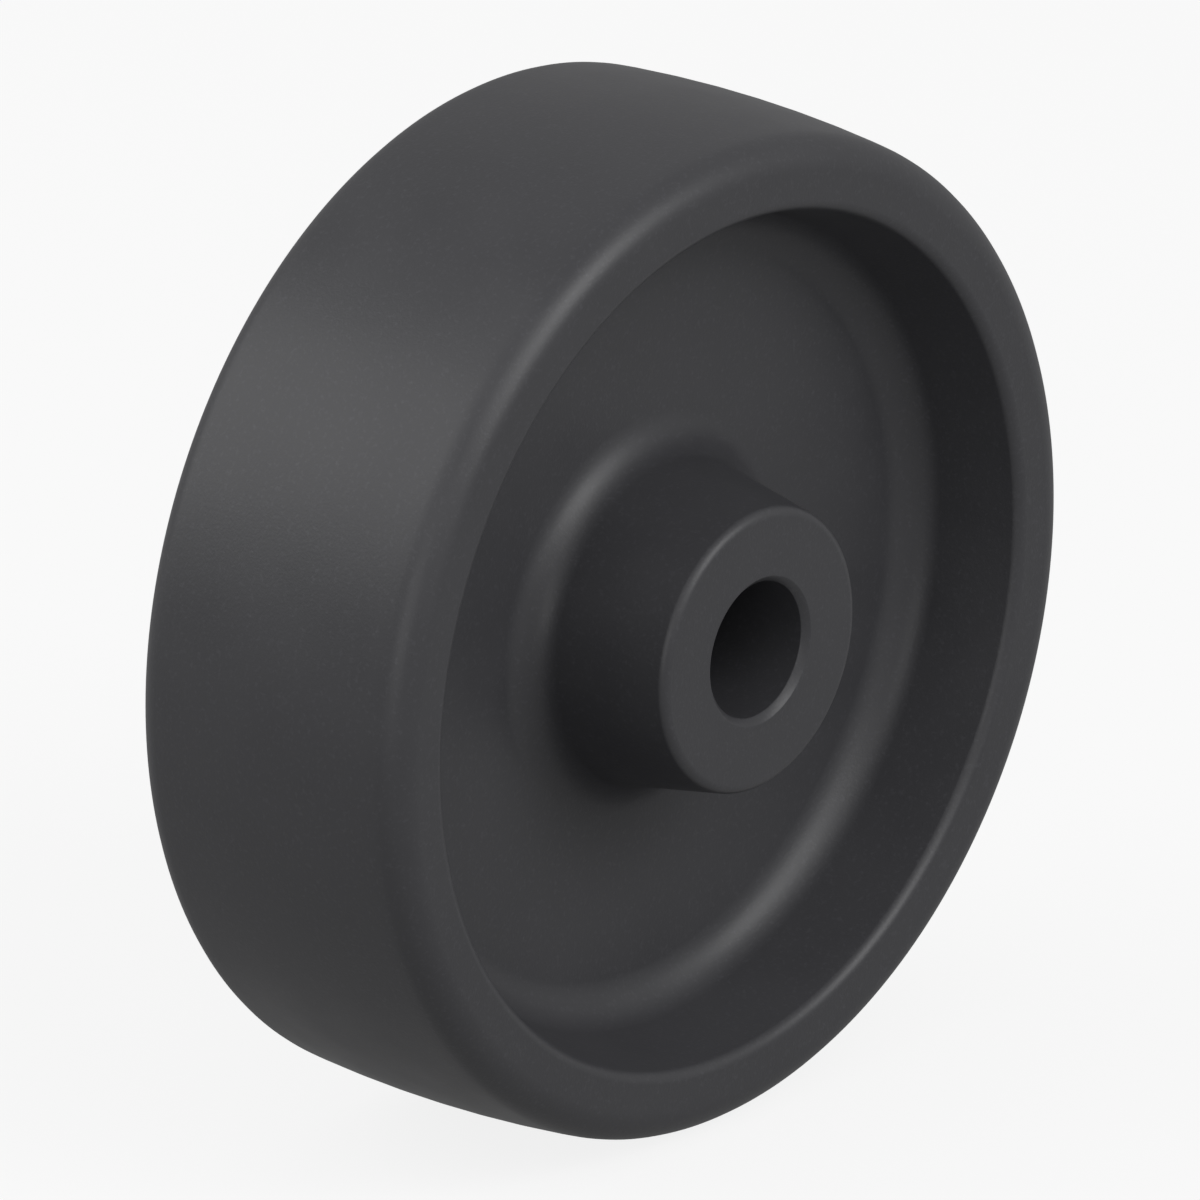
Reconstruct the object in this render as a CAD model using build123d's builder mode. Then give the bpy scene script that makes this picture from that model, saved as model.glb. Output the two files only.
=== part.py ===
from build123d import *
import os
from math import asin, degrees, radians, tan

# A caster wheel moulded in one piece, with a crowned tread, a web set in from both faces and a
# drafted hub with a plain bore. It stands upright: its axis is Y and its mid plane is Y = 0.

# Tread and rim, in millimetres
wheel_diameter = 150.0
rim_width = 49.5
crown_radius = 205.0
tread_edge_radius = 5.0

# Recess on each side between the rim and the hub, with its draft in degrees off the axis; the rim's
# wall is measured at its face, from the top of the tread to the recess
rim_wall = 11.5
recess_mouth_radius = 1.8
recess_draft = 14.0
recess_root_radius = 6.5
web_thickness = 15.0

# Hub, which stands out past the rim on both sides
hub_length = 60.0
hub_face_diameter = 42.0
hub_edge_radius = 1.5
hub_draft = 10.0
hub_root_radius = 6.0

# Bore, a running fit on its axle
axle_diameter = 20.0
axle_clearance = 0.2
bore_chamfer = 1.0

# Heights above the mid plane
rim_half = rim_width / 2
web_half = web_thickness / 2
hub_half = hub_length / 2

# Distances from the axis; the recess narrows and the hub widens towards the web, by their drafts
tread_radius = wheel_diameter / 2
bore_radius = (axle_diameter + axle_clearance) / 2
recess_mouth = tread_radius - rim_wall
recess_root = recess_mouth - (rim_half - web_half) * tan(radians(recess_draft))
hub_face = hub_face_diameter / 2
hub_root = hub_face + (hub_half - web_half) * tan(radians(hub_draft))

# Wheel: its section on one side of the mid plane is drawn, with X as the distance from the axis,
# then mirrored to the other side and turned once about the axis
with BuildPart() as wheel:
    with BuildSketch() as section:
        with BuildLine():
            crown_angle = degrees(asin(rim_half / crown_radius))
            crown = CenterArc((tread_radius - crown_radius, 0), crown_radius, 0, crown_angle)
            Polyline(
                crown @ 1,
                (recess_mouth, rim_half),
                (recess_root, web_half),
                (hub_root, web_half),
                (hub_face, hub_half),
                (bore_radius, hub_half),
                (bore_radius, 0),
                crown @ 0,
            )
        make_face()

        # Each sharp corner of the moulding is rounded, and the bore is chamfered for the axle
        rounded_corners = [
            ((crown @ 1).X, rim_half, tread_edge_radius),
            (recess_mouth, rim_half, recess_mouth_radius),
            (recess_root, web_half, recess_root_radius),
            (hub_root, web_half, hub_root_radius),
            (hub_face, hub_half, hub_edge_radius),
        ]
        for across, along, rounding in rounded_corners:
            fillet(section.vertices().sort_by_distance((across, along))[0], rounding)
        bore_mouth = section.vertices().sort_by_distance((bore_radius, hub_half))[0]
        chamfer(bore_mouth, bore_chamfer)

        mirror(about=Plane.XZ)
    revolve(axis=Axis.Y)

os.makedirs("parts", exist_ok=True)
wheel.part.label = "wheel"
export_step(wheel.part, "parts/wheel.step")
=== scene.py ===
from math import asin, cos, hypot, radians, sin, sqrt, tan

import bmesh
import bpy
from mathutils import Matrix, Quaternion, Vector


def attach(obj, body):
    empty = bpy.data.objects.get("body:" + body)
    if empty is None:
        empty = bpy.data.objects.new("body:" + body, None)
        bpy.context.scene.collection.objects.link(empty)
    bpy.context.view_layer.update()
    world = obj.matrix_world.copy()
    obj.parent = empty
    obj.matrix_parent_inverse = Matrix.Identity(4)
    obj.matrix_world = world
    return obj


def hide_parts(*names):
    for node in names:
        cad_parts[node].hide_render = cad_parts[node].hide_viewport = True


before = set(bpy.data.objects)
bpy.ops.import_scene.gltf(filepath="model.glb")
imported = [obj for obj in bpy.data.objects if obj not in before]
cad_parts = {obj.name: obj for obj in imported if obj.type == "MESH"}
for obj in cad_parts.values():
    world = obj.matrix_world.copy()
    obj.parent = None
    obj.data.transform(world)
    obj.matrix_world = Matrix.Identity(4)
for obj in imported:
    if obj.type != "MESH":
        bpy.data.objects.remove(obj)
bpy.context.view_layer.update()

MM = 0.001

# The wheel's sizes; its axis is Y, its mid plane is Y = 0 and it stands on its tread
TREAD_RADIUS = 75.0 * MM
RIM_HALF = 24.75 * MM
CROWN_RADIUS = 205.0 * MM
TREAD_EDGE_ROUNDING = 5.0 * MM
RECESS_MOUTH = 63.5 * MM
MOUTH_ROUNDING = 1.8 * MM
RECESS_DRAFT = radians(14)
RECESS_ROOT_ROUNDING = 6.5 * MM
WEB_HALF = 7.5 * MM
HUB_HALF = 30.0 * MM
HUB_FACE = 21.0 * MM
HUB_EDGE_ROUNDING = 1.5 * MM
HUB_DRAFT = radians(10)
HUB_ROOT_ROUNDING = 6.0 * MM
BORE = 10.1 * MM
BORE_CHAMFER = 1.0 * MM
CHAMFER_LEAN = radians(45)
CHAMFER_EASING = 0.3 * MM

# The drafts carry the recess and the hub from their faces down to the web
RECESS_ROOT = RECESS_MOUTH - (RIM_HALF - WEB_HALF) * tan(RECESS_DRAFT)
HUB_ROOT = HUB_FACE + (HUB_HALF - WEB_HALF) * tan(HUB_DRAFT)

# Steps round the wheel and across its tread
TURNS = 256
TREAD_ROWS = 8

# How far the middle of a face or an edge may lie from where it is looked for
NEAR = 0.02 * MM


def crown_at(side):
    """The tread's radius at that place along the axis."""
    return TREAD_RADIUS - CROWN_RADIUS + sqrt(CROWN_RADIUS ** 2 - side ** 2)


# Choosing faces and rings of edges on the wheel in edit mode

def choose(kind, test):
    """Selects only the faces or edges whose middle passes the test, which gets the middle's distance from
    the axis and its place along it."""
    bpy.ops.mesh.select_all(action="DESELECT")
    bpy.ops.mesh.select_mode(type=kind)
    shape = bmesh.from_edit_mesh(bpy.context.object.data)
    for part in shape.faces if kind == "FACE" else shape.edges:
        middle = sum((corner.co for corner in part.verts), Vector()) / len(part.verts)
        part.select_set(test(hypot(middle.x, middle.z), middle.y))
    shape.select_flush_mode()
    bmesh.update_edit_mesh(bpy.context.object.data)


def choose_cap(side):
    """Selects the flat face that closes the wheel's axis on that side."""
    choose("FACE", lambda across, along: across < NEAR and along * side > 0)


def round_ring(radius, place, rounding, turn, steps):
    """Rounds the sharp rings of that radius, at that place on both sides, where the section turns by that
    angle. The arc is a true one, which starts at its tangent points."""
    choose("EDGE", lambda across, along: abs(across - radius) < NEAR and abs(abs(along) - place) < NEAR)
    bpy.ops.mesh.bevel(offset=rounding * tan(turn / 2), segments=steps, profile=0.5, clamp_overlap=False)


# The moulded wheel

bpy.ops.object.select_all(action="DESELECT")
bpy.ops.mesh.primitive_cylinder_add(
    vertices=TURNS, radius=crown_at(RIM_HALF), depth=2 * RIM_HALF, rotation=(radians(90), 0, 0))
wheel = bpy.context.object
wheel.name = "moulded_wheel"
bpy.ops.object.transform_apply(location=True, rotation=True, scale=True)
bpy.ops.object.mode_set(mode="EDIT")

# The tread is cut into rows, and each ring of it is pushed out to the crown
choose("EDGE", lambda across, along: abs(along) < NEAR)
bpy.ops.mesh.subdivide(number_cuts=TREAD_ROWS - 1)
row = 2 * RIM_HALF / TREAD_ROWS
for ring in range(1, TREAD_ROWS):
    place = ring * row - RIM_HALF
    choose("EDGE", lambda across, along: abs(along - place) < NEAR)
    swell = crown_at(place) / crown_at(RIM_HALF)
    bpy.ops.transform.resize(value=(swell, 1, swell), center_override=(0, 0, 0))

# On each side the recess is sunk from the rim's face to the web, and the hub is drawn out of the web to
# its face, both drafted, with a chamfered mouth for the bore
for side in (-1, 1):
    choose_cap(side)
    bpy.ops.mesh.inset(thickness=crown_at(RIM_HALF) - RECESS_MOUTH)
    bpy.ops.mesh.extrude_region_move(TRANSFORM_OT_translate={"value": (0, side * (WEB_HALF - RIM_HALF), 0)})
    narrowing = RECESS_ROOT / RECESS_MOUTH
    bpy.ops.transform.resize(value=(narrowing, 1, narrowing), center_override=(0, 0, 0))

    bpy.ops.mesh.inset(thickness=RECESS_ROOT - HUB_ROOT)
    bpy.ops.mesh.extrude_region_move(TRANSFORM_OT_translate={"value": (0, side * (HUB_HALF - WEB_HALF), 0)})
    narrowing = HUB_FACE / HUB_ROOT
    bpy.ops.transform.resize(value=(narrowing, 1, narrowing), center_override=(0, 0, 0))

    bpy.ops.mesh.inset(thickness=HUB_FACE - BORE - BORE_CHAMFER)
    bpy.ops.mesh.extrude_region_move(TRANSFORM_OT_translate={"value": (0, -side * BORE_CHAMFER, 0)})
    narrowing = BORE / (BORE + BORE_CHAMFER)
    bpy.ops.transform.resize(value=(narrowing, 1, narrowing), center_override=(0, 0, 0))

# The bore is opened right through
choose("FACE", lambda across, along: across < NEAR)
bpy.ops.mesh.bridge_edge_loops()

# Each sharp ring of the moulding gets its rounding, and the chamfer's two edges are only eased
quarter = radians(90)
crown_lean = asin(RIM_HALF / CROWN_RADIUS)
round_ring(crown_at(RIM_HALF), RIM_HALF, TREAD_EDGE_ROUNDING, quarter - crown_lean, 8)
round_ring(RECESS_MOUTH, RIM_HALF, MOUTH_ROUNDING, quarter - RECESS_DRAFT, 6)
round_ring(RECESS_ROOT, WEB_HALF, RECESS_ROOT_ROUNDING, quarter - RECESS_DRAFT, 10)
round_ring(HUB_ROOT, WEB_HALF, HUB_ROOT_ROUNDING, quarter - HUB_DRAFT, 10)
round_ring(HUB_FACE, HUB_HALF, HUB_EDGE_ROUNDING, quarter - HUB_DRAFT, 6)
round_ring(BORE + BORE_CHAMFER, HUB_HALF, CHAMFER_EASING, CHAMFER_LEAN, 2)
round_ring(BORE, HUB_HALF - BORE_CHAMFER, CHAMFER_EASING, CHAMFER_LEAN, 2)

bpy.ops.mesh.select_all(action="SELECT")
bpy.ops.mesh.normals_make_consistent(inside=False)
bpy.ops.object.mode_set(mode="OBJECT")
bpy.ops.object.shade_smooth_by_angle(angle=radians(30))
weighted = wheel.modifiers.new("flat_faces_stay_flat", "WEIGHTED_NORMAL")
weighted.keep_sharp = True
bpy.ops.object.modifier_apply(modifier=weighted.name)

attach(wheel, "root")
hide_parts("wheel")


# Materials

def colour(hex_value):
    """An sRGB hex colour as the linear colour that Blender's sockets take."""
    parts = [int(hex_value[i:i + 2], 16) / 255 for i in (1, 3, 5)]
    return [p / 12.92 if p <= 0.04045 else ((p + 0.055) / 1.055) ** 2.4 for p in parts] + [1]


def node(tree, kind, values=None, links=None, **settings):
    """Adds a node of that kind with its settings, the values of its sockets and what feeds them."""
    made = tree.nodes.new(kind)
    for name, value in settings.items():
        setattr(made, name, value)
    for name, value in (values or {}).items():
        made.inputs[name].default_value = value
    for name, output in (links or {}).items():
        tree.links.new(output, made.inputs[name])
    return made


def blank(name):
    """A new material with an empty node tree."""
    material = bpy.data.materials.new(name)
    material.use_nodes = True
    material.node_tree.nodes.clear()
    return material, material.node_tree


# Glass-filled polyamide, moulded in a spark-eroded tool: an even anthracite grey with a satin sheen. The
# melt's flow leaves faint clouds about 14 mm wide in its colour and gloss, and fibres near the skin speckle
# it. Its shrinking leaves very shallow waves about 30 mm wide, and the tool's grain breaks up the highlights
# a little. The real grain and fibres are about 0.1 mm; they are drawn 0.4 mm and 0.7 mm wide, which is as
# fine as the picture shows.
CLOUD = 14 * MM
FIBRE = 0.7 * MM
WAVE = 30 * MM
GRAIN = 0.4 * MM

polyamide, tree = blank("glass_filled_polyamide_as_moulded")
point = node(tree, "ShaderNodeTexCoord").outputs["Object"]
clouds = node(
    tree, "ShaderNodeTexNoise", {"Scale": 1 / CLOUD, "Detail": 3, "Roughness": 0.55}, {"Vector": point})
fibres = node(
    tree, "ShaderNodeTexNoise", {"Scale": 1 / FIBRE, "Detail": 2, "Roughness": 0.6}, {"Vector": point})
swells = node(
    tree, "ShaderNodeTexNoise", {"Scale": 1 / WAVE, "Detail": 1, "Roughness": 0.4}, {"Vector": point})
grain = node(
    tree, "ShaderNodeTexNoise", {"Scale": 1 / GRAIN, "Detail": 1, "Roughness": 0.5}, {"Vector": point})

cloudy = node(
    tree, "ShaderNodeMapRange", {"From Min": 0.3, "From Max": 0.7}, {"Value": clouds.outputs["Fac"]})
body_colour = node(
    tree, "ShaderNodeMix", {"A": colour("#3f3f42"), "B": colour("#424245")},
    {"Factor": cloudy.outputs["Result"]}, data_type="RGBA")
speckled = node(
    tree, "ShaderNodeMapRange", {"From Min": 0.55, "From Max": 0.8, "To Min": 0.0, "To Max": 0.6},
    {"Value": fibres.outputs["Fac"]})
fibre_colour = node(
    tree, "ShaderNodeMix", {"B": colour("#515155")},
    {"Factor": speckled.outputs["Result"], "A": body_colour.outputs["Result"]}, data_type="RGBA")
gloss = node(
    tree, "ShaderNodeMapRange", {"From Min": 0.3, "From Max": 0.7, "To Min": 0.39, "To Max": 0.45},
    {"Value": clouds.outputs["Fac"]})
waves = node(
    tree, "ShaderNodeBump", {"Strength": 0.3, "Distance": 0.05 * MM}, {"Height": swells.outputs["Fac"]})
tooth = node(
    tree, "ShaderNodeBump", {"Strength": 0.5, "Distance": 0.04 * MM},
    {"Height": grain.outputs["Fac"], "Normal": waves.outputs["Normal"]})
skin = node(
    tree, "ShaderNodeBsdfPrincipled", {"IOR": 1.5},
    {"Base Color": fibre_colour.outputs["Result"], "Roughness": gloss.outputs["Result"],
     "Normal": tooth.outputs["Normal"]})
node(tree, "ShaderNodeOutputMaterial", links={"Surface": skin.outputs["BSDF"]})
wheel.data.materials.clear()
wheel.data.materials.append(polyamide)

# A pale matt studio floor. Its share of plain white is what the camera sees, and part of it shows in the
# wheel's sheen, while the wheel's soft shadow stays on the rest.
FLOOR_WHITE = 0.85
FLOOR_IN_SHEEN = 0.33
FLOOR_SIDE = 8000 * MM

paper, tree = blank("pale_studio_floor")
rays = node(tree, "ShaderNodeLightPath")
mirrored = node(
    tree, "ShaderNodeMath", links={0: rays.outputs["Is Glossy Ray"], 1: rays.outputs["Is Transmission Ray"]},
    operation="ADD")
seen = node(
    tree, "ShaderNodeMath", {1: FLOOR_IN_SHEEN},
    {0: mirrored.outputs["Value"], 2: rays.outputs["Is Camera Ray"]}, operation="MULTIPLY_ADD")
matt = node(tree, "ShaderNodeBsdfDiffuse", {"Color": colour("#f0f0f0")})
glow = node(tree, "ShaderNodeEmission", {"Color": (1, 1, 1, 1)}, {"Strength": seen.outputs["Value"]})
both = node(
    tree, "ShaderNodeMixShader", {"Fac": FLOOR_WHITE}, {1: matt.outputs["BSDF"], 2: glow.outputs["Emission"]})
node(tree, "ShaderNodeOutputMaterial", links={"Surface": both.outputs["Shader"]})

bpy.ops.object.select_all(action="DESELECT")
bpy.ops.mesh.primitive_plane_add(size=FLOOR_SIDE, location=(0, 0, -TREAD_RADIUS))
floor = bpy.context.object
floor.name = "studio_floor"
floor.data.materials.append(paper)


# Light and camera

LAMP_DISTANCE = 1500 * MM
ROOM_LEVEL = 0.375


def way_to(azimuth, elevation):
    """The way from the wheel to something at those angles in degrees. Azimuth 0 is -Y and 90 is +X."""
    a = radians(azimuth)
    e = radians(elevation)
    return Vector((sin(a) * cos(e), -cos(a) * cos(e), sin(e)))


def soft_lamp(name, azimuth, elevation, turn, width, height, power):
    """A softbox that faces the wheel, turned in its own plane, with its sizes in metres."""
    away = way_to(azimuth, elevation)
    facing = away.to_track_quat("Z", "Y") @ Quaternion((0, 0, 1), radians(turn))
    bpy.ops.object.light_add(type="AREA", location=LAMP_DISTANCE * away, rotation=facing.to_euler())
    lamp = bpy.context.object
    lamp.name = name
    lamp.data.shape = "RECTANGLE"
    lamp.data.size = width
    lamp.data.size_y = height
    lamp.data.energy = power


# The key and the upper softbox light the face that the camera sees, and two small ones ease its left side and
# the bore. The long softbox at the back left runs along the axis, so that the tread is lit evenly over its
# width.
soft_lamp("upper_softbox", -8, 44, 0, 1.1, 0.8, 3.2)
soft_lamp("key_softbox", 14, 30, 0, 0.8, 0.8, 6.8)
soft_lamp("left_softbox", -80, 50, 0, 0.8, 0.8, 1.2)
soft_lamp("low_softbox", -60, 12, 0, 0.8, 0.6, 2.2)
soft_lamp("tread_softbox", -136, 34, 30, 1.7, 1.1, 8.2)

# Plain grey studio walls and ceiling
world = bpy.data.worlds.new("studio_walls")
bpy.context.scene.world = world
world.use_nodes = True
tree = world.node_tree
tree.nodes.clear()
surround = node(tree, "ShaderNodeBackground", {"Color": (1, 1, 1, 1), "Strength": ROOM_LEVEL})
node(tree, "ShaderNodeOutputWorld", links={"Surface": surround.outputs["Background"]})

# An orthographic camera, 1 m from the wheel, with the wheel a little off the middle of its picture
CAMERA_AZIMUTH = -49.75
CAMERA_ELEVATION = 21.78
PICTURE_SIDE = 170.8 * MM
aim = Vector((0.07, -0.02, 0.10)) * MM
bpy.ops.object.camera_add(
    location=aim + way_to(CAMERA_AZIMUTH, CAMERA_ELEVATION),
    rotation=(quarter - radians(CAMERA_ELEVATION), 0, radians(CAMERA_AZIMUTH)))
camera = bpy.context.object
camera.name = "camera"
camera.data.type = "ORTHO"
camera.data.ortho_scale = PICTURE_SIDE
bpy.context.scene.camera = camera

bpy.context.scene.view_settings.view_transform = "Standard"
